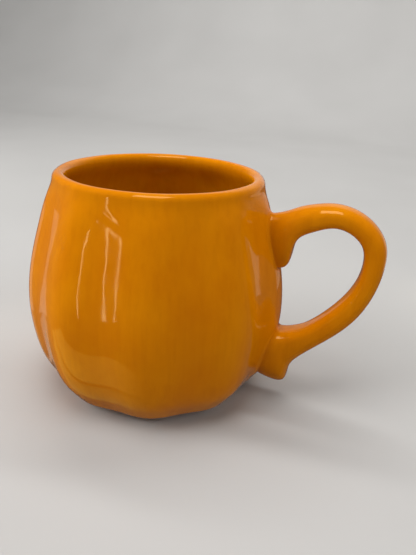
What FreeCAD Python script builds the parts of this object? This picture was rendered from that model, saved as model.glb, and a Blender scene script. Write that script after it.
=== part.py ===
"""Pumpkin-shaped ceramic mug.

A lobed, slip-cast cup with an open top, and a loop handle whose flared roots are
stuck to the wall with clay slip.  Millimetres, +Z up.  The origin is the centre of
the foot ring, on the plane the mug stands on.  The handle points along +X, on the
crest of a lobe, so the grooves lie half a lobe to either side of it.
"""

import FreeCAD, Part
import math
import os

from FreeCAD import Vector

os.makedirs("parts", exist_ok=True)

# ---- lobes -----------------------------------------------------------------------
# They are alike on both sides of the handle, but a little uneven round the cup.
LOBE_COUNT = 10
LOBE_LEAN = math.radians(2.6)   # shifts the grooves at the sides away from the handle
LOBE_SPREAD = math.radians(2.4)  # widens the lobes at the sides
POINTS_PER_LOBE = 8

# ---- foot ------------------------------------------------------------------------
FOOT_OUTER_RADIUS = 33.0
FOOT_INNER_RADIUS = 29.0
FOOT_TOP = 4.6                  # the ring runs this far up into the cup's underside
FOOT_EDGE_ROUND = 0.8

# ---- cup wall: (height, crest radius, groove depth) --------------------------------
# The outside starts under the cup and ends at the lip; the inside starts on the floor.
OUTER_WALL = [
    (3.6, 26.0, 0.0),
    (2.7, 33.0, 0.4),
    (2.2, 37.6, 1.2),
    (3.8, 41.6, 1.6),
    (6.8, 44.2, 1.8),
    (13.1, 48.5, 2.0),
    (25.0, 52.3, 2.1),
    (42.4, 53.8, 2.1),
    (57.8, 52.0, 2.0),
    (73.7, 47.9, 1.75),
    (84.6, 44.3, 1.15),
    (90.6, 42.1, 0.3),
]
INNER_WALL = [
    (7.6, 18.0, 0.0),
    (7.8, 28.0, 0.0),
    (9.4, 36.6, 0.4),
    (14.5, 43.2, 0.9),
    (25.0, 47.5, 1.2),
    (42.4, 49.1, 1.3),
    (57.8, 47.3, 1.2),
    (73.7, 43.2, 0.8),
    (84.6, 39.4, 0.4),
    (90.6, 37.3, 0.1),
]

# ---- lip: a round bead a little thicker than the wall it closes ----------------------
LIP_RADIUS = 39.6               # of the bead's centre line
LIP_ROUND = 2.6
LIP_HEIGHT = 90.6

# ---- handle: rails of the loop in its plane of symmetry, and its half width ---------
# One row per cross-section, from inside the wall at the top to inside it at the foot:
# outer rail (x, z), inner rail (x, z), half width along Y.
HANDLE_SECTIONS = [
    ((40.2, 79.6), (44.5, 62.6), 5.2),
    ((44.2, 80.9), (50.4, 59.9), 5.8),
    ((46.8, 81.4), (53.2, 60.5), 6.2),
    ((50.2, 82.3), (55.0, 62.7), 6.8),
    ((57.3, 85.3), (57.3, 72.4), 6.6),
    ((64.0, 87.1), (62.9, 76.5), 6.5),
    ((70.8, 87.7), (70.1, 79.0), 6.4),
    ((83.7, 82.9), (79.6, 75.5), 6.4),
    ((89.9, 75.0), (82.1, 71.6), 6.4),
    ((91.0, 66.9), (82.8, 67.2), 6.4),
    ((86.0, 47.1), (79.0, 52.8), 6.4),
    ((73.4, 31.3), (66.6, 37.9), 6.6),
    ((63.1, 21.5), (59.9, 33.8), 7.4),
    ((59.9, 15.2), (55.0, 32.6), 8.2),
    ((58.4, 9.6), (52.8, 32.8), 8.8),
    ((54.4, 9.1), (50.6, 32.6), 9.2),
    ((44.5, 12.8), (45.0, 31.4), 9.2),
]
SECTION_POINTS = 16
SECTION_SQUARENESS = 2.3        # 2 would be a plain ellipse

# ---- slip joints -------------------------------------------------------------------
SLIP_THICKNESS = 0.8
SLIP_BEAD = 1.2                 # how far the slip squeezes out past the handle's roots
UPPER_ROOT = HANDLE_SECTIONS[:5]
LOWER_ROOT = HANDLE_SECTIONS[-6:]


def groove_share(angle):
    """0 on the crest of a lobe and 1 at the bottom of a groove, round the cup."""
    even = angle - LOBE_LEAN * math.sin(angle) + LOBE_SPREAD * math.sin(2.0 * angle)
    return 0.5 - 0.5 * math.cos(LOBE_COUNT * even)


def ring(height, crest_radius, groove_depth, grow=0.0):
    """Closed lobed outline at one height, with a lobe crest on +X."""
    points = []
    count = LOBE_COUNT * POINTS_PER_LOBE
    for step in range(count):
        angle = 2.0 * math.pi * step / count
        radius = crest_radius + grow - groove_depth * groove_share(angle)
        points.append(Vector(radius * math.cos(angle), radius * math.sin(angle), height))
    curve = Part.BSplineCurve()
    curve.interpolate(points, True)
    return Part.Wire([curve.toShape()])


def filled_wall(stations, grow=0.0):
    """Solid through the lobed outlines, capped flat at both ends."""
    return Part.makeLoft([ring(*station, grow) for station in stations], True)


def cup_shell():
    """The lobed wall with its floor, closed at the top by the bead of the lip."""
    shell = filled_wall(OUTER_WALL).cut(filled_wall(INNER_WALL))
    lip = Part.makeTorus(LIP_RADIUS, LIP_ROUND, Vector(0, 0, LIP_HEIGHT))
    return shell.fuse(lip)


def foot_ring():
    """Flat-bottomed ring the mug stands on, with softened lower edges."""
    outer = Part.makeCylinder(FOOT_OUTER_RADIUS, FOOT_TOP)
    inner = Part.makeCylinder(FOOT_INNER_RADIUS, FOOT_TOP)
    blank = outer.cut(inner)
    lower_edges = [e for e in blank.Edges if e.BoundBox.ZMax < 0.01]
    return blank.makeFillet(FOOT_EDGE_ROUND, lower_edges)


def handle_section(outer_rail, inner_rail, half_width, grow):
    """Closed rounded cross-section of the handle between its two rails."""
    outer = Vector(outer_rail[0], 0, outer_rail[1])
    inner = Vector(inner_rail[0], 0, inner_rail[1])
    centre = (outer + inner) * 0.5
    half_span = (outer - inner) * 0.5
    along = Vector(half_span)
    along.normalize()
    reach = half_span.Length + grow
    width = half_width + grow
    power = 2.0 / SECTION_SQUARENESS
    points = []
    for step in range(SECTION_POINTS):
        turn = 2.0 * math.pi * (step + 0.5) / SECTION_POINTS
        u = math.copysign(abs(math.cos(turn)) ** power, math.cos(turn))
        v = math.copysign(abs(math.sin(turn)) ** power, math.sin(turn))
        points.append(centre + along * (reach * u) + Vector(0, width * v, 0))
    curve = Part.BSplineCurve()
    curve.interpolate(points, True)
    return Part.Wire([curve.toShape()])


def handle_blank(sections, grow=0.0):
    """Loft through some of the handle's sections; its ends still run into the wall."""
    return Part.makeLoft([handle_section(*section, grow) for section in sections], True)


def slip_joint(root_sections, wall, grown_wall):
    """Slip squeezed between one root of the handle and the wall."""
    bead = handle_blank(root_sections, SLIP_BEAD)
    return bead.common(grown_wall).cut(wall)


def single_solid(shape):
    """Largest solid of a boolean result, cleaned of split edges."""
    solid = max(shape.Solids, key=lambda s: s.Volume)
    return solid.removeSplitter()


wall = filled_wall(OUTER_WALL)
grown_wall = filled_wall(OUTER_WALL, SLIP_THICKNESS)

cup_body = single_solid(cup_shell().fuse(foot_ring()))
handle = single_solid(handle_blank(HANDLE_SECTIONS).cut(grown_wall))
upper_joint = single_solid(slip_joint(UPPER_ROOT, wall, grown_wall))
lower_joint = single_solid(slip_joint(LOWER_ROOT, wall, grown_wall))

NODES = {
    "cup_body": cup_body,
    "handle": handle,
    "upper_joint_slip": upper_joint,
    "lower_joint_slip": lower_joint,
}
for name, shape in NODES.items():
    shape.exportStep("parts/" + name + ".step")
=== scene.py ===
import math

import bpy
import numpy as np
from mathutils import Matrix, Vector


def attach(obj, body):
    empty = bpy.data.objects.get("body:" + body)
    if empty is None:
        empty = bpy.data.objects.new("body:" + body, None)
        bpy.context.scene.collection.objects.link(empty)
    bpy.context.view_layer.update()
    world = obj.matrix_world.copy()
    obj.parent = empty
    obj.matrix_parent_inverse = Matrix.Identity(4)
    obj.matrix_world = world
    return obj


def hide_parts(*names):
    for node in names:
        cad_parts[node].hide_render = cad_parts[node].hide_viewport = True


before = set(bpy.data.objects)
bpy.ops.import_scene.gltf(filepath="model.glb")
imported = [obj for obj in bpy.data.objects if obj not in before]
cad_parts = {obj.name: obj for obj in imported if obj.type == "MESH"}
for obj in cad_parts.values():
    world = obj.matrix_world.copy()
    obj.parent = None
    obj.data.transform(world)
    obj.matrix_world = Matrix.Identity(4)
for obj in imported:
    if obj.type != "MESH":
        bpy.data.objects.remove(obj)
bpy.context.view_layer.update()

MM = 0.001

# ---- lobes (as in the CAD model) ------------------------------------------------------
LOBE_COUNT = 10
LOBE_LEAN = math.radians(2.6)
LOBE_SPREAD = math.radians(2.4)
DEEPEST_GROOVE = 2.1
COLUMNS = 400                   # mesh columns round the cup

# ---- cup profile: (radius, height, groove depth) --------------------------------------
UNDERSIDE = [
    (0.0, 3.9, 0.0),
    (10.0, 3.85, 0.0),
    (20.0, 3.7, 0.0),
    (26.0, 3.6, 0.0),
    (28.0, 3.35, 0.0),
    (28.85, 2.7, 0.0),
    (29.0, 1.9, 0.0),
    (29.0, 1.35, 0.0),
]
FOOT_INNER = 29.0
FOOT_OUTER = 33.0
FOOT_EDGE = 0.8                 # rounding of the foot's lower edges
GLAZE_STOP = 1.25               # height at which the glaze was wiped off the foot
GLAZE_COAT = 0.12               # its thickness there
OUTER_WALL = [
    (33.0, 1.35, 0.0),
    (33.05, 1.9, 0.05),
    (33.5, 2.42, 0.25),
    (35.0, 2.45, 0.7),
    (37.6, 2.2, 1.2),
    (41.6, 3.8, 1.6),
    (44.2, 6.8, 1.8),
    (48.5, 13.1, 2.0),
    (52.3, 25.0, 2.1),
    (53.8, 42.4, 2.1),
    (52.0, 57.8, 2.0),
    (47.9, 73.7, 1.75),
    (44.3, 84.6, 1.15),
]
LIP_RADIUS = 39.6               # centre line of the lip
LIP_HEIGHT = 90.6
LIP_ROUND = 2.6
LIP_SCALLOP = 0.3               # what is left of the grooves on the lip's outside
CROWN_SCALLOP = 0.6 * LIP_SCALLOP
INSIDE_SCALLOP = 0.1
INNER_WALL = [
    (39.4, 84.6, 0.4),
    (43.2, 73.7, 0.8),
    (47.3, 57.8, 1.2),
    (49.1, 42.4, 1.3),
    (47.5, 25.0, 1.2),
    (43.2, 14.5, 0.9),
    (36.6, 9.4, 0.4),
    (28.0, 7.8, 0.0),
    (18.0, 7.6, 0.0),
    (9.0, 7.55, 0.0),
    (0.0, 7.5, 0.0),
]
CUP_TOP = 93.2

# distance between rows of the mesh, and rows in each arc of the profile
UNDERSIDE_SPACING = 1.2
FOOT_SPACING = 0.8
OUTSIDE_SPACING = 0.75
INSIDE_SPACING = 0.9
LOOKUP_SPACING = 0.1            # of the table that gives the wall's radius at a height
FOOT_ARC_ROWS = 7
LIP_ARC_ROWS = 5

# ---- uneven cast wall -----------------------------------------------------------------
# size, waves round the cup, phase, millimetres of height per radian
WALL_WAVES = (
    (0.07, 2.0, 0.8, 34.0),
    (0.03, 5.0, -0.7, 21.0),
    (0.03, 5.0, -1.5, -21.0),
    (0.03, 13.0, 0.0, 9.0),
)
RIPPLE_SIZE = 0.03              # short ripples just under the lip
RIPPLE_COUNT = 31.0
RIPPLE_SLANT = 1.1              # radians per millimetre of height
RIPPLE_HEIGHT = 85.0
RIPPLE_BAND = 3.0
FOOT_FADE = 8.0                 # height over which the waves fade out at the foot
LIP_FADE = 6.0                  # and at the lip

# ---- handle: outer rail (x, z), inner rail (x, z), half width (as in the CAD model) ---
HANDLE_SECTIONS = [
    ((40.2, 79.6), (44.5, 62.6), 5.2),
    ((44.2, 80.9), (50.4, 59.9), 5.8),
    ((46.8, 81.4), (53.2, 60.5), 6.2),
    ((50.2, 82.3), (55.0, 62.7), 6.8),
    ((57.3, 85.3), (57.3, 72.4), 6.6),
    ((64.0, 87.1), (62.9, 76.5), 6.5),
    ((70.8, 87.7), (70.1, 79.0), 6.4),
    ((83.7, 82.9), (79.6, 75.5), 6.4),
    ((89.9, 75.0), (82.1, 71.6), 6.4),
    ((91.0, 66.9), (82.8, 67.2), 6.4),
    ((86.0, 47.1), (79.0, 52.8), 6.4),
    ((73.4, 31.3), (66.6, 37.9), 6.6),
    ((63.1, 21.5), (59.9, 33.8), 7.4),
    ((59.9, 15.2), (55.0, 32.6), 8.2),
    ((58.4, 9.6), (52.8, 32.8), 8.8),
    ((54.4, 9.1), (50.6, 32.6), 9.2),
    ((44.5, 12.8), (45.0, 31.4), 9.2),
]
OUTER_SQUARENESS = 2.15         # of the half section away from the finger gap
INNER_SQUARENESS = 2.9          # the side towards the finger gap is flatter
HANDLE_COLUMNS = 96             # points round a section
HANDLE_ROWS = 190
ROOT_DEPTH = 1.5                # how deep the roots are set into the wall
CROSSING_SAMPLES = 500          # along half the handle, to find where it meets the wall

# ---- fillets of slip: reach at the top, at the sides and at the bottom of a root ------
UPPER_FILLET = (1.7, 2.4, 0.9)
LOWER_FILLET = (1.8, 2.8, 1.0)
FILLET_STEPS = 26
TURN_SHARPNESS = 1.5            # how soon the reach changes from top to side to bottom
ROOT_SHARE = 0.4                # reach up the root's sides, over the reach on the wall
TOP_PULL = 0.6                  # how far the fillet's curve is drawn into the corner
SIDE_PULL = 0.9
AIM_SHARE = 0.96                # of the reach, where the curve's end directions are taken
BEAD_HEIGHT = 0.55              # slip squeezed out beside the roots
BEAD_PLACE = 0.27               # along the fillet, from the wall to the root
BEAD_WIDTH = 0.12
BACK_DEPTH = 0.5                # how deep the slip's back lies under its two edges
CORNER_DEPTH = 0.6              # and how deep under the wall in the corner

# ---- glaze; a noise is given as its scale along each axis, detail and roughness --------
GLAZE = (0.62, 0.193, 0.0004)
GLAZE_THIN = (0.71, 0.25, 0.0015)
GLAZE_DEEP = (0.53, 0.14, 0.0004)
INSIDE_PAINTED_SHADE = (0.85, 0.91, 1.0)  # painted shade: the glaze colour darkened inside the cup
INSIDE_SHADE_FADE = 7.0               # depth below the crown of the lip over which that painted shade sets in
RUN_NOISE = ((420.0, 420.0, 22.0), 3.0, 0.55)
RUN_TINTS = [(0.34, (0.90, 0.87, 0.85)), (0.52, (1.0, 1.0, 1.0)),
             (0.72, (1.04, 1.07, 1.15))]
RUN_STRENGTH = 0.45
MOTTLE_NOISE = ((75.0, 75.0, 60.0), 4.0, 0.55)
MOTTLE_COLOURS = [(0.30, GLAZE_DEEP), (0.50, GLAZE), (0.74, GLAZE_THIN)]
MOTTLE_CALM = 0.62              # share of plain glaze mixed over the mottling
CREASE_POOL_AND_SHADE = 0.95              # darker glaze round the roots of the handle: glaze run together there, and painted shade in the crease
CREASE_WIDTH = 1.5
CREASE_SIDE = 35.0              # least x of a point that can lie near a root
GROOVE_POOL_AND_SHADE = 0.55              # darker glaze in the grooves: glaze run together there, and painted shade in the hollows
POOL_AND_SHADE_STRENGTH = 0.75
SHEEN_NOISE = ((160.0, 160.0, 160.0), 3.0, 0.5)
SHEEN_SPREAD = (0.3, 0.7)       # part of the noise that the sheen ranges over
SHEEN_RANGE = (0.035, 0.08)     # roughness of the glaze
GLAZE_IOR = 1.47
GLAZE_REFLECTION = (1.0, 0.72, 0.32, 1.0)
SURFACE_NOISE = ((95.0, 95.0, 55.0), 2.0, 0.4)
SURFACE_BUMP = (0.35, 0.0004)   # strength, and height in metres

# ---- bare clay of the foot ------------------------------------------------------------
GRAIN_NOISE = ((1500.0, 1500.0, 1500.0), 4.0, 0.6)
GRAIN_COLOURS = [(0.30, (0.56, 0.47, 0.37)), (0.60, (0.72, 0.64, 0.53)),
                 (0.80, (0.80, 0.73, 0.62))]
GRAIN_ROUGHNESS = (0.65, 0.9)
GRAIN_BUMP = (0.5, 0.0002)
STAIN_NOISE = ((130.0, 130.0, 130.0), 3.0, 0.5)
STAIN_SPREAD = (0.45, 0.75)
STAIN = (0.60, 0.40, 0.20)
STAIN_STRENGTH = 0.35

# ---- floor and backdrop, in metres ----------------------------------------------------
FLOOR_HALF = 3.0                # to each side
FLOOR_FRONT = -3.0
SWEEP_START = 0.9               # where the floor starts to curve up behind the mug
SWEEP_RADIUS = 0.5
SWEEP_STEPS = 25
BACKDROP_TOP = 1.9
PALE_NOISE = ((6.0, 6.0, 6.0), 2.0, 0.5)
PALE_COLOURS = [(0.3, (0.42, 0.412, 0.40)), (0.7, (0.445, 0.437, 0.425))]
PALE_ROUGHNESS = 0.6

# ---- light, in metres; bearings are in degrees round the mug from +X ------------------
WHITE = (1.0, 1.0, 1.0)
WARM = (1.0, 0.92, 0.74)
GOLDEN = (1.0, 0.84, 0.16)
MUG_MIDDLE = (0.0, 0.0, 0.05)
BACKDROP_MIDDLE = (0.0, 1.4, 0.4)
# name, bearing, distance, height, width, tall, power, aim, mirrored in the glaze
SOFTBOXES = (
    ("overhead", -90.0, 0.25, 0.95, 0.45, 0.45, 3.8, MUG_MIDDLE, True),
    ("front_fill", -140.0, 0.7, 0.62, 0.5, 0.5, 4.3, MUG_MIDDLE, False),
    ("left_fill", -177.0, 0.75, 0.15, 0.5, 0.25, 3.8, MUG_MIDDLE, False),
    ("right_fill", -16.0, 0.75, 0.5, 0.5, 0.4, 2.4, MUG_MIDDLE, False),
    ("backdrop_light", 90.0, 0.55, 1.5, 1.6, 0.3, 25.0, BACKDROP_MIDDLE, False),
)
STRIP_AIM = (0.0, 0.0, 0.06)
# the tall strip's ends as bearing, distance and height, and its widths on the way up
TALL_STRIP_BOTTOM = (-116.0, 0.205, 0.002)
TALL_STRIP_TOP = (-121.0, 0.555, 0.168)
TALL_STRIP_WIDTHS = (0.0024, 0.0034, 0.0046, 0.0060, 0.0078, 0.0100)
TALL_STRIP_RADIANCE = 7.0
# name, bottom and top as above, width, radiance
SIDE_PANELS = (
    ("right_panel", (42.0, 0.22, 0.001), (40.0, 0.22, 0.074), 0.066, 0.55),
    ("left_panel", (175.4, 0.12, -0.005), (174.0, 0.12, 0.072), 0.030, 0.34),
    ("left_panel_low", (157.5, 0.12, -0.055), (174.6, 0.12, -0.002), 0.030, 0.24),
)
# left edge, right edge and front edge of each tile on the floor, and its share of the
# radiance
FLOOR_TILES = (
    (-0.100, -0.020, -0.088, 1.0),
    (-0.020, -0.012, -0.086, 0.8),
    (-0.012, -0.004, -0.084, 0.6),
    (-0.004, 0.004, -0.081, 0.4),
    (0.004, 0.012, -0.076, 0.2),
)
FRONT_PANEL_BACK = -0.0598
FRONT_PANEL_RADIANCE = 0.85
NEAR_PANEL_FRONT = -0.0572
NEAR_PANEL_BACK = -0.044
NEAR_PANEL_RADIANCE = 0.55
PANEL_HEIGHT = 0.0005
ROOM_COLOUR = (0.80, 0.785, 0.75, 1.0)
ROOM_STRENGTH = 0.11

# ---- camera ---------------------------------------------------------------------------
CAMERA_AIM = Vector((0.0230, -0.0038, 0.0519))
CAMERA_BEARING = math.radians(15.08)   # from -Y towards +X
CAMERA_RISE = math.radians(22.51)
CAMERA_DISTANCE = 0.2150
CAMERA_ROLL = math.radians(3.16)
CAMERA_LENS = 33.73
CAMERA_SENSOR = 36.0
CAMERA_CLIP = 0.01


# ---- curves ---------------------------------------------------------------------------
def natural_spline(knots, values):
    """Function for the natural cubic spline through the values, one row per knot."""
    knots = np.asarray(knots, float)
    values = np.asarray(values, float)
    count = len(knots)
    gaps = np.diff(knots)
    slopes = np.diff(values, axis=0) / gaps[:, None]
    system = np.eye(count)
    rhs = np.zeros_like(values)
    for i in range(1, count - 1):
        system[i, i - 1:i + 2] = gaps[i - 1], 2.0 * (gaps[i - 1] + gaps[i]), gaps[i]
        rhs[i] = 6.0 * (slopes[i] - slopes[i - 1])
    bends = np.linalg.solve(system, rhs)

    def at(t):
        t = np.asarray(t, float)
        i = np.clip(np.searchsorted(knots, t, side="right") - 1, 0, count - 2)
        after = (t - knots[i])[..., None]
        before = (knots[i + 1] - t)[..., None]
        gap = gaps[i][..., None]
        cubic = (bends[i] * before ** 3 + bends[i + 1] * after ** 3) / (6.0 * gap)
        start = (values[i] / gap - bends[i] * gap / 6.0) * before
        end = (values[i + 1] / gap - bends[i + 1] * gap / 6.0) * after
        return cubic + start + end

    return at


def smooth_rows(stations, spacing):
    """Rows at about even spacing on a smooth curve through (radius, height, depth)."""
    stations = np.array(stations, float)
    steps = np.linalg.norm(np.diff(stations[:, :2], axis=0), axis=1)
    knots = np.concatenate([[0.0], np.cumsum(steps)])
    curve = natural_spline(knots, stations)
    count = max(2, int(round(knots[-1] / spacing)) + 1)
    return curve(np.linspace(0.0, knots[-1], count))


def arc_rows(radius, height, bend, start, end, count):
    """Rows on an arc of the profile, with angles in degrees from straight outwards."""
    turns = np.radians(np.linspace(start, end, count))
    return np.stack([radius + bend * np.cos(turns), height + bend * np.sin(turns),
                     np.zeros(count)], axis=1)


def unit(vectors):
    return vectors / np.linalg.norm(vectors, axis=-1, keepdims=True)


# ---- cup ------------------------------------------------------------------------------
def groove_share(angle):
    """0 on the crest of a lobe and 1 at the bottom of a groove."""
    even = angle - LOBE_LEAN * np.sin(angle) + LOBE_SPREAD * np.sin(2.0 * angle)
    return 0.5 - 0.5 * np.cos(LOBE_COUNT * even)


def casting_waver(angle, height):
    """Slight unevenness of a cast and fired wall, which fades out at foot and lip."""
    waves = sum(size * np.sin(count * angle + phase + height / rise)
                for size, count, phase, rise in WALL_WAVES)
    band = np.exp(-((height - RIPPLE_HEIGHT) / RIPPLE_BAND) ** 2)
    ripple = RIPPLE_SIZE * np.sin(RIPPLE_COUNT * angle + RIPPLE_SLANT * height) * band
    fade = (np.clip(height / FOOT_FADE, 0.0, 1.0)
            * np.clip((CUP_TOP - height) / LIP_FADE, 0.0, 1.0))
    return (waves + ripple) * fade


def lip_stations(start, end, first_depth, last_depth):
    """Stations on the rounded lip, with angles in degrees from straight outwards."""
    lip = arc_rows(LIP_RADIUS, LIP_HEIGHT, LIP_ROUND, start, end, LIP_ARC_ROWS)
    lip[:, 2] = np.linspace(first_depth, last_depth, len(lip))
    return [tuple(row) for row in lip]


def wall_stations():
    """The outside of the wall up to the crown of the lip, as one smooth run."""
    return OUTER_WALL + lip_stations(0.0, 90.0, LIP_SCALLOP, CROWN_SCALLOP)


def inside_stations():
    """From the crown of the lip down the inside to the middle of the floor."""
    return lip_stations(90.0, 180.0, CROWN_SCALLOP, INSIDE_SCALLOP) + INNER_WALL


wall_profile = smooth_rows(wall_stations(), LOOKUP_SPACING)
rising_wall = wall_profile[int(np.argmin(wall_profile[:, 1])):]


def wall_radius(angle, height):
    """Outside radius of the wall at an angle and a height above its lowest line."""
    crest = np.interp(height, rising_wall[:, 1], rising_wall[:, 0])
    depth = np.interp(height, rising_wall[:, 1], rising_wall[:, 2])
    return crest - depth * groove_share(angle) + casting_waver(angle, height)


def on_wall(angle, height):
    """Point on the outside of the wall."""
    radius = wall_radius(angle, height)
    return np.stack([radius * np.cos(angle), radius * np.sin(angle), height], axis=-1)


def foot_rows():
    """Rows (radius, height, depth) of the bare foot ring, from its inside outwards."""
    inner = FOOT_INNER + GLAZE_COAT
    outer = FOOT_OUTER - GLAZE_COAT
    edge = FOOT_EDGE
    flat = smooth_rows([(inner + edge, 0.0, 0.0), (outer - edge, 0.0, 0.0)], FOOT_SPACING)
    return np.concatenate([
        [(inner, GLAZE_STOP, 0.0)],
        arc_rows(inner + edge, edge, edge, 180.0, 270.0, FOOT_ARC_ROWS),
        flat[1:-1],
        arc_rows(outer - edge, edge, edge, 270.0, 360.0, FOOT_ARC_ROWS),
        [(outer, GLAZE_STOP, 0.0)],
    ])


def ring_faces(rows, columns):
    """Quads between closed rings of points, wound so that they face outwards."""
    faces = []
    for row in range(rows - 1):
        low = row * columns
        for c in range(columns):
            n = (c + 1) % columns
            faces.append((low + c, low + n, low + columns + n, low + columns + c))
    return faces


def build_mesh(name, points, faces, materials, attributes, face_materials=None):
    """Smooth-shaded mesh object from points in millimetres."""
    mesh = bpy.data.meshes.new(name)
    mesh.from_pydata((np.asarray(points) * MM).tolist(), [], faces)
    mesh.validate()
    for material in materials:
        mesh.materials.append(material)
    mesh.polygons.foreach_set("use_smooth", [True] * len(mesh.polygons))
    if face_materials is not None:
        mesh.polygons.foreach_set("material_index", face_materials)
    for key, values in attributes.items():
        layer = mesh.attributes.new(key, "FLOAT", "POINT")
        layer.data.foreach_set("value", np.asarray(values, np.float32))
    mesh.update()
    thing = bpy.data.objects.new(name, mesh)
    bpy.context.scene.collection.objects.link(thing)
    return thing


def pool_and_shade_near_joints(points, base=0.0):
    """Darker glaze round the roots of the handle, from glaze run together and painted
    shade: 1 in the crease.
    """
    nearest = np.full(len(points), np.inf)
    close = points[:, 0] > CREASE_SIDE
    for loop in joint_loops:
        gaps = np.linalg.norm(points[close, None, :] - loop[None, :, :], axis=2)
        nearest[close] = np.minimum(nearest[close], gaps.min(axis=1))
    return np.maximum(base, CREASE_POOL_AND_SHADE * np.exp(-(nearest / CREASE_WIDTH) ** 2))


def build_cup(glaze, clay):
    """The cup as one closed skin: foot, outside, lip, inside and floor."""
    underside = smooth_rows(UNDERSIDE, UNDERSIDE_SPACING)
    foot = foot_rows()
    outside = smooth_rows(wall_stations(), OUTSIDE_SPACING)
    inside = smooth_rows(inside_stations(), INSIDE_SPACING)[1:]
    rows = np.concatenate([underside, foot, outside, inside])
    wavering = np.concatenate([np.zeros(len(underside) + len(foot)), np.ones(len(outside)),
                               np.zeros(len(inside))])
    angles = 2.0 * math.pi * np.arange(COLUMNS) / COLUMNS
    share = groove_share(angles)

    # the first and the last row are the two points on the axis
    body = rows[1:-1]
    radius = body[:, :1] - body[:, 2:3] * share[None, :]
    height = np.broadcast_to(body[:, 1:2], radius.shape)
    radius = radius + wavering[1:-1, None] * casting_waver(angles[None, :], height)
    grid = np.stack([radius * np.cos(angles), radius * np.sin(angles), height], axis=-1)
    points = grid.reshape(-1, 3)
    bottom, floor_middle = len(points), len(points) + 1
    points = np.concatenate([points, [(0.0, 0.0, rows[0, 1])], [(0.0, 0.0, rows[-1, 1])]])

    faces = [face[::-1] for face in ring_faces(len(body), COLUMNS)]
    bare_rows = range(len(underside) - 1, len(underside) + len(foot) - 2)
    finish = [int(row in bare_rows) for row in range(len(body) - 1) for _ in range(COLUMNS)]
    last = (len(body) - 1) * COLUMNS
    for c in range(COLUMNS):
        n = (c + 1) % COLUMNS
        faces.append((c, n, bottom))
        faces.append((last + n, last + c, floor_middle))
        finish += [0, 0]

    # darker glaze in the grooves: glaze run together there, and painted shade
    depth = np.clip(body[:, 2:3] / DEEPEST_GROOVE, 0.0, 1.0)
    pool_and_shade = (GROOVE_POOL_AND_SHADE * depth * share[None, :] ** 2).reshape(-1)
    pool_and_shade = np.concatenate([pool_and_shade, [0.0, 0.0]])
    crown = int(np.argmax(body[:, 1]))
    # painted shade inside the cup: 0 on the outside and at the crown of the lip, rising to
    # 1 a few millimetres down the inside
    inside_shade = np.clip((body[crown, 1] - body[:, 1]) / INSIDE_SHADE_FADE, 0.0, 1.0)
    inside_shade[:crown] = 0.0
    inside_shade = np.concatenate([np.repeat(inside_shade, COLUMNS), [0.0, 1.0]])
    return build_mesh("glazed_cup", points, faces, [glaze, clay],
                      {"pool_and_shade": pool_and_shade_near_joints(points, pool_and_shade), "inside": inside_shade}, finish)


# ---- handle ---------------------------------------------------------------------------
def handle_curve():
    """Function of a sweep position for both rails and the half width, and its length."""
    values = np.array([(*outer, *inner, half) for outer, inner, half in HANDLE_SECTIONS])
    outer_steps = np.linalg.norm(np.diff(values[:, 0:2], axis=0), axis=1)
    inner_steps = np.linalg.norm(np.diff(values[:, 2:4], axis=0), axis=1)
    knots = np.concatenate([[0.0], np.cumsum(0.5 * (outer_steps + inner_steps))])
    return natural_spline(knots, values), knots[-1]


sweep, sweep_length = handle_curve()
section_turns = 2.0 * math.pi * (np.arange(HANDLE_COLUMNS) + 0.5) / HANDLE_COLUMNS


def handle_point(position, turn):
    """Point of the handle's surface at a sweep position and an angle round the section."""
    row = sweep(position)
    level = np.zeros_like(row[..., 0])
    outer = np.stack([row[..., 0], level, row[..., 1]], axis=-1)
    inner = np.stack([row[..., 2], level, row[..., 3]], axis=-1)
    power = 2.0 / np.where(np.cos(turn) > 0.0, OUTER_SQUARENESS, INNER_SQUARENESS)
    across = np.sign(np.cos(turn)) * np.abs(np.cos(turn)) ** power
    aside = np.sign(np.sin(turn)) * np.abs(np.sin(turn)) ** power
    point = 0.5 * (outer + inner) + 0.5 * (outer - inner) * across[..., None]
    point[..., 1] += row[..., 4] * aside
    return point


def outside_wall(points):
    """How far points are outside the wall, along the radius."""
    angle = np.arctan2(points[..., 1], points[..., 0])
    radius = np.hypot(points[..., 0], points[..., 1])
    return radius - wall_radius(angle, points[..., 2])


def crossings(lifts, from_start):
    """Sweep position where each line along the handle is at its lift off the wall."""
    positions = np.linspace(0.0, 0.5 * sweep_length, CROSSING_SAMPLES)
    if not from_start:
        positions = sweep_length - positions
    places = []
    for turn, lift in zip(section_turns, np.broadcast_to(lifts, section_turns.shape)):
        line = handle_point(positions, np.full(CROSSING_SAMPLES, turn))
        distance = outside_wall(line) - lift
        step = int(np.nonzero(distance < 0.0)[0].max())
        share = distance[step] / (distance[step] - distance[step + 1])
        places.append(positions[step] + share * (positions[step + 1] - positions[step]))
    return np.array(places)


def build_handle(material):
    """Handle between the two places where its roots end inside the wall."""
    starts = crossings(-ROOT_DEPTH, True)
    ends = crossings(-ROOT_DEPTH, False)
    shares = np.linspace(0.0, 1.0, HANDLE_ROWS)[:, None]
    positions = starts * (1.0 - shares) + ends * shares
    grid = handle_point(positions, np.broadcast_to(section_turns, positions.shape))
    points = np.concatenate([grid.reshape(-1, 3), [grid[0].mean(0)], [grid[-1].mean(0)]])
    faces = ring_faces(HANDLE_ROWS, HANDLE_COLUMNS)
    last = (HANDLE_ROWS - 1) * HANDLE_COLUMNS
    for c in range(HANDLE_COLUMNS):
        n = (c + 1) % HANDLE_COLUMNS
        faces.append((n, c, len(points) - 2))
        faces.append((last + c, last + n, len(points) - 1))
    return build_mesh("glazed_handle", points, faces, [material],
                      {"pool_and_shade": pool_and_shade_near_joints(points)})


# ---- slip joints ----------------------------------------------------------------------
def joint_loop(from_start):
    """Closed line where the handle's surface meets the wall."""
    return handle_point(crossings(0.0, from_start), section_turns)


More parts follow.
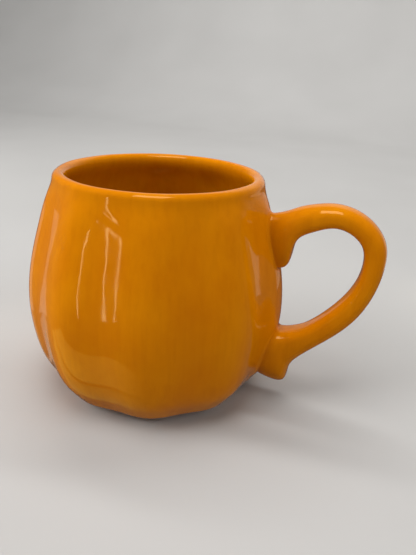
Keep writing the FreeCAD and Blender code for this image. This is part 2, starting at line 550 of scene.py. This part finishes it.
def fillet_sections(from_start, reaches):
    """Cross-sections of the fillet between the wall and one root of the handle."""
    top, side, bottom = reaches
    loop = joint_loop(from_start)
    mean_radius = np.hypot(loop[:, 0], loop[:, 1]).mean()
    flat = np.stack([np.arctan2(loop[:, 1], loop[:, 0]) * mean_radius, loop[:, 2]], axis=1)
    along = unit(np.roll(flat, -1, axis=0) - np.roll(flat, 1, axis=0))
    away = np.stack([along[:, 1], -along[:, 0]], axis=1)
    if ((flat - flat.mean(0)) * away).sum() < 0.0:
        away = -away
    up = np.clip(away[:, 1], 0.0, 1.0) ** TURN_SHARPNESS
    down = np.clip(-away[:, 1], 0.0, 1.0) ** TURN_SHARPNESS
    reach = side + (top - side) * up + (bottom - side) * down

    def wall_at(distance):
        spot = flat + away * distance[:, None]
        return on_wall(spot[:, 0] / mean_radius, spot[:, 1])

    def root_at(climb):
        return handle_point(crossings(climb, from_start), section_turns)

    foot = wall_at(reach)
    foot_aim = unit(wall_at(reach * AIM_SHARE) - foot)
    climb = reach * (ROOT_SHARE + (1.0 - ROOT_SHARE) * up)
    head = root_at(climb)
    head_aim = unit(root_at(AIM_SHARE * climb) - head)
    pull = (SIDE_PULL + (TOP_PULL - SIDE_PULL) * up)[:, None]
    foot_pull = pull * np.linalg.norm(loop - foot, axis=1)[:, None]
    head_pull = pull * np.linalg.norm(loop - head, axis=1)[:, None]
    steps = np.linspace(0.0, 1.0, FILLET_STEPS)[:, None, None]
    curve = ((1 - steps) ** 3 * foot
             + 3 * (1 - steps) ** 2 * steps * (foot + foot_aim * foot_pull)
             + 3 * (1 - steps) * steps ** 2 * (head + head_aim * head_pull)
             + steps ** 3 * head)
    inward = -unit(loop * [1.0, 1.0, 0.0])
    beside = ((1.0 - up) * (1.0 - down))[:, None]
    bead = np.exp(-((steps - BEAD_PLACE) / BEAD_WIDTH) ** 2) * beside
    curve = curve - BEAD_HEIGHT * bead * inward
    middle = loop.mean(0)
    back = [
        head + BACK_DEPTH * unit(middle - head),
        loop + CORNER_DEPTH * inward + BACK_DEPTH * unit(middle - loop),
        foot + BACK_DEPTH * inward,
    ]
    return np.concatenate([curve, np.array(back)]), loop


def build_fillet(name, sections, material):
    """Closed ring of slip from its cross-sections."""
    rows, columns = sections.shape[:2]
    points = sections.reshape(-1, 3)
    faces = ring_faces(rows, columns)
    last = (rows - 1) * columns
    for c in range(columns):
        n = (c + 1) % columns
        faces.append((last + c, last + n, n, c))
    return build_mesh(name, points, faces, [material], {"pool_and_shade": pool_and_shade_near_joints(points)})


# ---- materials ------------------------------------------------------------------------
class Nodes:
    """Short calls for building a material's node tree."""

    def __init__(self, name):
        self.material = bpy.data.materials.new(name)
        self.material.use_nodes = True
        self.tree = self.material.node_tree
        self.shader = self.tree.nodes["Principled BSDF"]

    def add(self, kind, sockets=None, **settings):
        node = self.tree.nodes.new(kind)
        for key, value in settings.items():
            setattr(node, key, value)
        for key, value in (sockets or {}).items():
            node.inputs[key].default_value = value
        return node

    def link(self, source, target):
        self.tree.links.new(source, target)

    def noise(self, scale, detail, roughness):
        """Noise in object coordinates, scaled differently along each axis."""
        place = self.add("ShaderNodeTexCoord")
        mapping = self.add("ShaderNodeMapping", {"Scale": scale})
        self.link(place.outputs["Object"], mapping.inputs["Vector"])
        node = self.add("ShaderNodeTexNoise",
                        {"Scale": 1.0, "Detail": detail, "Roughness": roughness})
        self.link(mapping.outputs["Vector"], node.inputs["Vector"])
        return node.outputs["Fac"]

    def attribute(self, name):
        return self.add("ShaderNodeAttribute", attribute_name=name).outputs["Fac"]

    def ramp(self, factor, stops):
        node = self.add("ShaderNodeValToRGB")
        line = node.color_ramp
        while len(line.elements) < len(stops):
            line.elements.new(0.5)
        for element, (position, colour) in zip(line.elements, stops):
            element.position = position
            element.color = (*colour, 1.0)
        self.link(factor, node.inputs["Fac"])
        return node.outputs["Color"]

    def grey(self, factor, low, high, start=0.0, end=1.0):
        node = self.add("ShaderNodeMapRange", {"From Min": start, "From Max": end,
                                               "To Min": low, "To Max": high})
        self.link(factor, node.inputs["Value"])
        return node.outputs["Result"]

    def mix(self, factor, first, second, blend="MIX"):
        node = self.add("ShaderNodeMix", data_type="RGBA", blend_type=blend)
        if isinstance(factor, float):
            node.inputs["Factor"].default_value = factor
        else:
            self.link(factor, node.inputs["Factor"])
        for socket, value in ((node.inputs["A"], first), (node.inputs["B"], second)):
            if isinstance(value, tuple):
                socket.default_value = (*value, 1.0)
            else:
                self.link(value, socket)
        return node.outputs["Result"]

    def bump(self, height, strength, distance):
        node = self.add("ShaderNodeBump", {"Strength": strength, "Distance": distance})
        self.link(height, node.inputs["Height"])
        self.link(node.outputs["Normal"], self.shader.inputs["Normal"])


def make_glaze():
    """Opaque glossy glaze with faint runs, mottling, darker pools (glaze run together, with
    painted shade) and painted shade inside the cup.
    """
    n = Nodes("orange_glaze")
    runs = n.noise(*RUN_NOISE)
    mottle = n.noise(*MOTTLE_NOISE)
    calm = n.mix(MOTTLE_CALM, n.ramp(mottle, MOTTLE_COLOURS), GLAZE)
    streaked = n.mix(RUN_STRENGTH, calm, n.ramp(runs, RUN_TINTS), "MULTIPLY")
    # darker glaze in the grooves and round the handle's roots: glaze run together, and
    # painted shade
    pool_and_shade_amount = n.grey(n.attribute("pool_and_shade"), 0.0, POOL_AND_SHADE_STRENGTH)
    pooled_and_shaded = n.mix(pool_and_shade_amount, streaked, GLAZE_DEEP)
    # painted shade inside the cup: the glaze multiplied darker where the inside attribute
    # is 1
    shaded_inside = n.mix(1.0, pooled_and_shaded, INSIDE_PAINTED_SHADE, "MULTIPLY")
    colour = n.mix(n.attribute("inside"), pooled_and_shaded, shaded_inside)
    n.link(colour, n.shader.inputs["Base Color"])
    sheen = n.grey(n.noise(*SHEEN_NOISE), *SHEEN_RANGE, *SHEEN_SPREAD)
    n.link(sheen, n.shader.inputs["Roughness"])
    n.shader.inputs["IOR"].default_value = GLAZE_IOR
    n.shader.inputs["Specular Tint"].default_value = GLAZE_REFLECTION
    n.bump(n.noise(*SURFACE_NOISE), *SURFACE_BUMP)
    return n.material


def make_clay():
    """Bare fired clay of the wiped foot: matt, fine-grained and slightly stained."""
    n = Nodes("bare_clay")
    grain = n.noise(*GRAIN_NOISE)
    staining = n.grey(n.noise(*STAIN_NOISE), 0.0, STAIN_STRENGTH, *STAIN_SPREAD)
    colour = n.mix(staining, n.ramp(grain, GRAIN_COLOURS), STAIN)
    n.link(colour, n.shader.inputs["Base Color"])
    n.link(n.grey(grain, *GRAIN_ROUGHNESS), n.shader.inputs["Roughness"])
    n.bump(grain, *GRAIN_BUMP)
    return n.material


def make_pale():
    """Matt, faintly uneven pale surface of the floor and the backdrop."""
    n = Nodes("pale_floor")
    shade = n.ramp(n.noise(*PALE_NOISE), PALE_COLOURS)
    n.link(shade, n.shader.inputs["Base Color"])
    n.shader.inputs["Roughness"].default_value = PALE_ROUGHNESS
    return n.material


# ---- the object -----------------------------------------------------------------------
glaze = make_glaze()
clay = make_clay()

upper_sections, upper_loop = fillet_sections(True, UPPER_FILLET)
lower_sections, lower_loop = fillet_sections(False, LOWER_FILLET)
joint_loops = [upper_loop, lower_loop]

PIECES = [
    (build_cup(glaze, clay), "cup_body"),
    (build_handle(glaze), "handle"),
    (build_fillet("upper_slip_fillet", upper_sections, glaze), "upper_joint_slip"),
    (build_fillet("lower_slip_fillet", lower_sections, glaze), "lower_joint_slip"),
]
for piece, node in PIECES:
    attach(piece, "root")
    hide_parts(node)


# ---- floor and backdrop ---------------------------------------------------------------
def make_sheet(name, line, material):
    """A wide sheet along X through a line of (y, z) points."""
    corners = [(side * FLOOR_HALF, y, z) for y, z in line for side in (-1.0, 1.0)]
    faces = [(2 * i, 2 * i + 1, 2 * i + 3, 2 * i + 2) for i in range(len(line) - 1)]
    mesh = bpy.data.meshes.new(name)
    mesh.from_pydata(corners, [], faces)
    mesh.materials.append(material)
    mesh.polygons.foreach_set("use_smooth", [True] * len(faces))
    sheet = bpy.data.objects.new(name, mesh)
    bpy.context.scene.collection.objects.link(sheet)
    return sheet


pale = make_pale()
floor = make_sheet("floor", [(FLOOR_FRONT, 0.0), (SWEEP_START, 0.0)], pale)
floor.visible_glossy = False    # keeps the glaze dark and rich low down
sweep_line = [(SWEEP_START + SWEEP_RADIUS * math.sin(turn),
               SWEEP_RADIUS * (1.0 - math.cos(turn)))
              for turn in np.linspace(0.0, 0.5 * math.pi, SWEEP_STEPS)]
make_sheet("backdrop", sweep_line + [(SWEEP_START + SWEEP_RADIUS, BACKDROP_TOP)], pale)


# ---- light ----------------------------------------------------------------------------
def around(bearing, distance, height):
    """Point at a bearing round the mug."""
    turn = math.radians(bearing)
    return Vector((distance * math.cos(turn), distance * math.sin(turn), height))


def area_light(name, width, tall, power, colour=WHITE):
    """Rectangular light that the camera doesn't see."""
    data = bpy.data.lights.new(name, "AREA")
    data.shape = "RECTANGLE"
    data.size = width
    data.size_y = tall
    data.energy = power
    data.color = colour
    lamp = bpy.data.objects.new(name, data)
    lamp.visible_camera = False
    bpy.context.scene.collection.objects.link(lamp)
    return lamp


def softbox(name, bearing, distance, height, width, tall, power, aim, mirrored):
    """Light at a bearing round the mug, aimed at a point."""
    lamp = area_light(name, width, tall, power)
    lamp.location = around(bearing, distance, height)
    away = lamp.location - Vector(aim)
    lamp.rotation_euler = away.to_track_quat("Z", "Y").to_euler()
    lamp.visible_glossy = mirrored


def strip_light(name, bottom, top, width, radiance, colour=WHITE):
    """Light between two points, turned as far as it can be towards the mug."""
    middle = 0.5 * (bottom + top)
    tall = (top - bottom).length
    along = (top - bottom).normalized()
    facing = Vector(STRIP_AIM) - middle
    facing = (facing - along * facing.dot(along)).normalized()
    lamp = area_light(name, width, tall, radiance * math.pi * width * tall, colour)
    turn = Matrix((along.cross(-facing), along, -facing)).transposed().to_4x4()
    turn.translation = middle
    lamp.matrix_world = turn


def floor_panel(name, left, right, front, back, radiance):
    """Flat light lying on the floor, seen only as a pale patch mirrored in the glaze."""
    width, tall = right - left, back - front
    lamp = area_light(name, width, tall, radiance * math.pi * width * tall, GOLDEN)
    lamp.location = (0.5 * (left + right), 0.5 * (front + back), PANEL_HEIGHT)
    lamp.rotation_euler = (math.pi, 0.0, 0.0)
    lamp.visible_diffuse = False


for box in SOFTBOXES:
    softbox(*box)
strip_bottom = around(*TALL_STRIP_BOTTOM)
strip_top = around(*TALL_STRIP_TOP)
for part, width in enumerate(TALL_STRIP_WIDTHS):
    ends = [strip_bottom.lerp(strip_top, end / len(TALL_STRIP_WIDTHS))
            for end in (part, part + 1)]
    strip_light(f"tall_strip_{part}", *ends, width, TALL_STRIP_RADIANCE)
for name, bottom, top, width, radiance in SIDE_PANELS:
    strip_light(name, around(*bottom), around(*top), width, radiance, WARM)
for tile, (left, right, front, share) in enumerate(FLOOR_TILES):
    floor_panel(f"front_panel_{tile}", left, right, front, FRONT_PANEL_BACK,
                FRONT_PANEL_RADIANCE * share)
    floor_panel(f"near_panel_{tile}", left, right, NEAR_PANEL_FRONT, NEAR_PANEL_BACK,
                NEAR_PANEL_RADIANCE * share)

world = bpy.data.worlds.new("room")
world.use_nodes = True
sky = world.node_tree.nodes["Background"]
sky.inputs["Color"].default_value = ROOM_COLOUR
sky.inputs["Strength"].default_value = ROOM_STRENGTH
bpy.context.scene.world = world
bpy.context.scene.view_settings.view_transform = "Standard"

# ---- camera ---------------------------------------------------------------------------
back = Vector((math.sin(CAMERA_BEARING) * math.cos(CAMERA_RISE),
               -math.cos(CAMERA_BEARING) * math.cos(CAMERA_RISE),
               math.sin(CAMERA_RISE)))
level_right = Vector((0.0, 0.0, 1.0)).cross(back).normalized()
level_up = back.cross(level_right)
right = level_right * math.cos(CAMERA_ROLL) + level_up * math.sin(CAMERA_ROLL)
up = back.cross(right)
place = Matrix((right, up, back)).transposed().to_4x4()
place.translation = CAMERA_AIM + back * CAMERA_DISTANCE
camera_data = bpy.data.cameras.new("camera")
camera_data.lens = CAMERA_LENS
camera_data.sensor_width = CAMERA_SENSOR
camera_data.clip_start = CAMERA_CLIP
camera = bpy.data.objects.new("camera", camera_data)
camera.matrix_world = place
bpy.context.scene.collection.objects.link(camera)
bpy.context.scene.camera = camera
